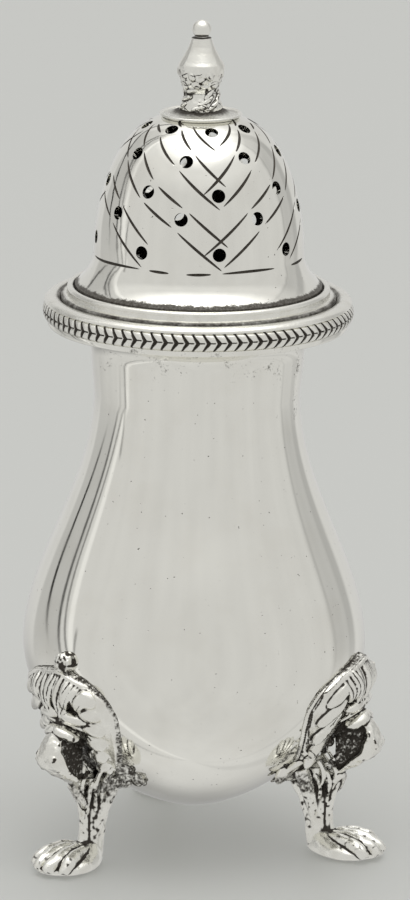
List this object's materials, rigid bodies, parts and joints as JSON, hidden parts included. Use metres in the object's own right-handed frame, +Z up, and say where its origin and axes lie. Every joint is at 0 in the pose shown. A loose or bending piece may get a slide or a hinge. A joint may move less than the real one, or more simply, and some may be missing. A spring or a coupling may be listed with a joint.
{
  "type": "footed salt shaker",
  "caption": "Pear-shaped silver salt shaker with a lift-off pierced dome lid, finial and chased mouth ring, on lion-mask paw feet.",
  "frame": {"origin": "on the table, at the middle of the footprint's bounding box; the turned axis stands 2.07 mm in front of it, at -Y, because the back foot reaches further out than the belly", "axes": "+Z up along the turned axis, -Y the front, between the two front feet, +X to the right when seen from the front"},
  "size_m": [0.044, 0.0451, 0.1006],
  "materials": {
    "polished_silver": "hand-polished sterling silver with fine wear scratches",
    "cast_silver": "cast and chased silver, bright on the high places and oxidised dark in the recesses"
  },
  "bodies": {
    "pot": {"body_shell": "polished_silver", "mouth_border_ring": "cast_silver", "foot_left": "cast_silver", "foot_right": "cast_silver", "foot_back": "cast_silver"},
    "lid": {"lid_rim_moulding": "polished_silver", "lid_bezel": "polished_silver", "lid_dome": "polished_silver", "finial_plate": "cast_silver", "finial": "cast_silver"}
  },
  "joints": [
    {"name": "lid_lift", "type": "slide", "parent": "pot", "child": "lid", "axis": [0, 0, 1], "range_m": [0, 0.02]}
  ]
}
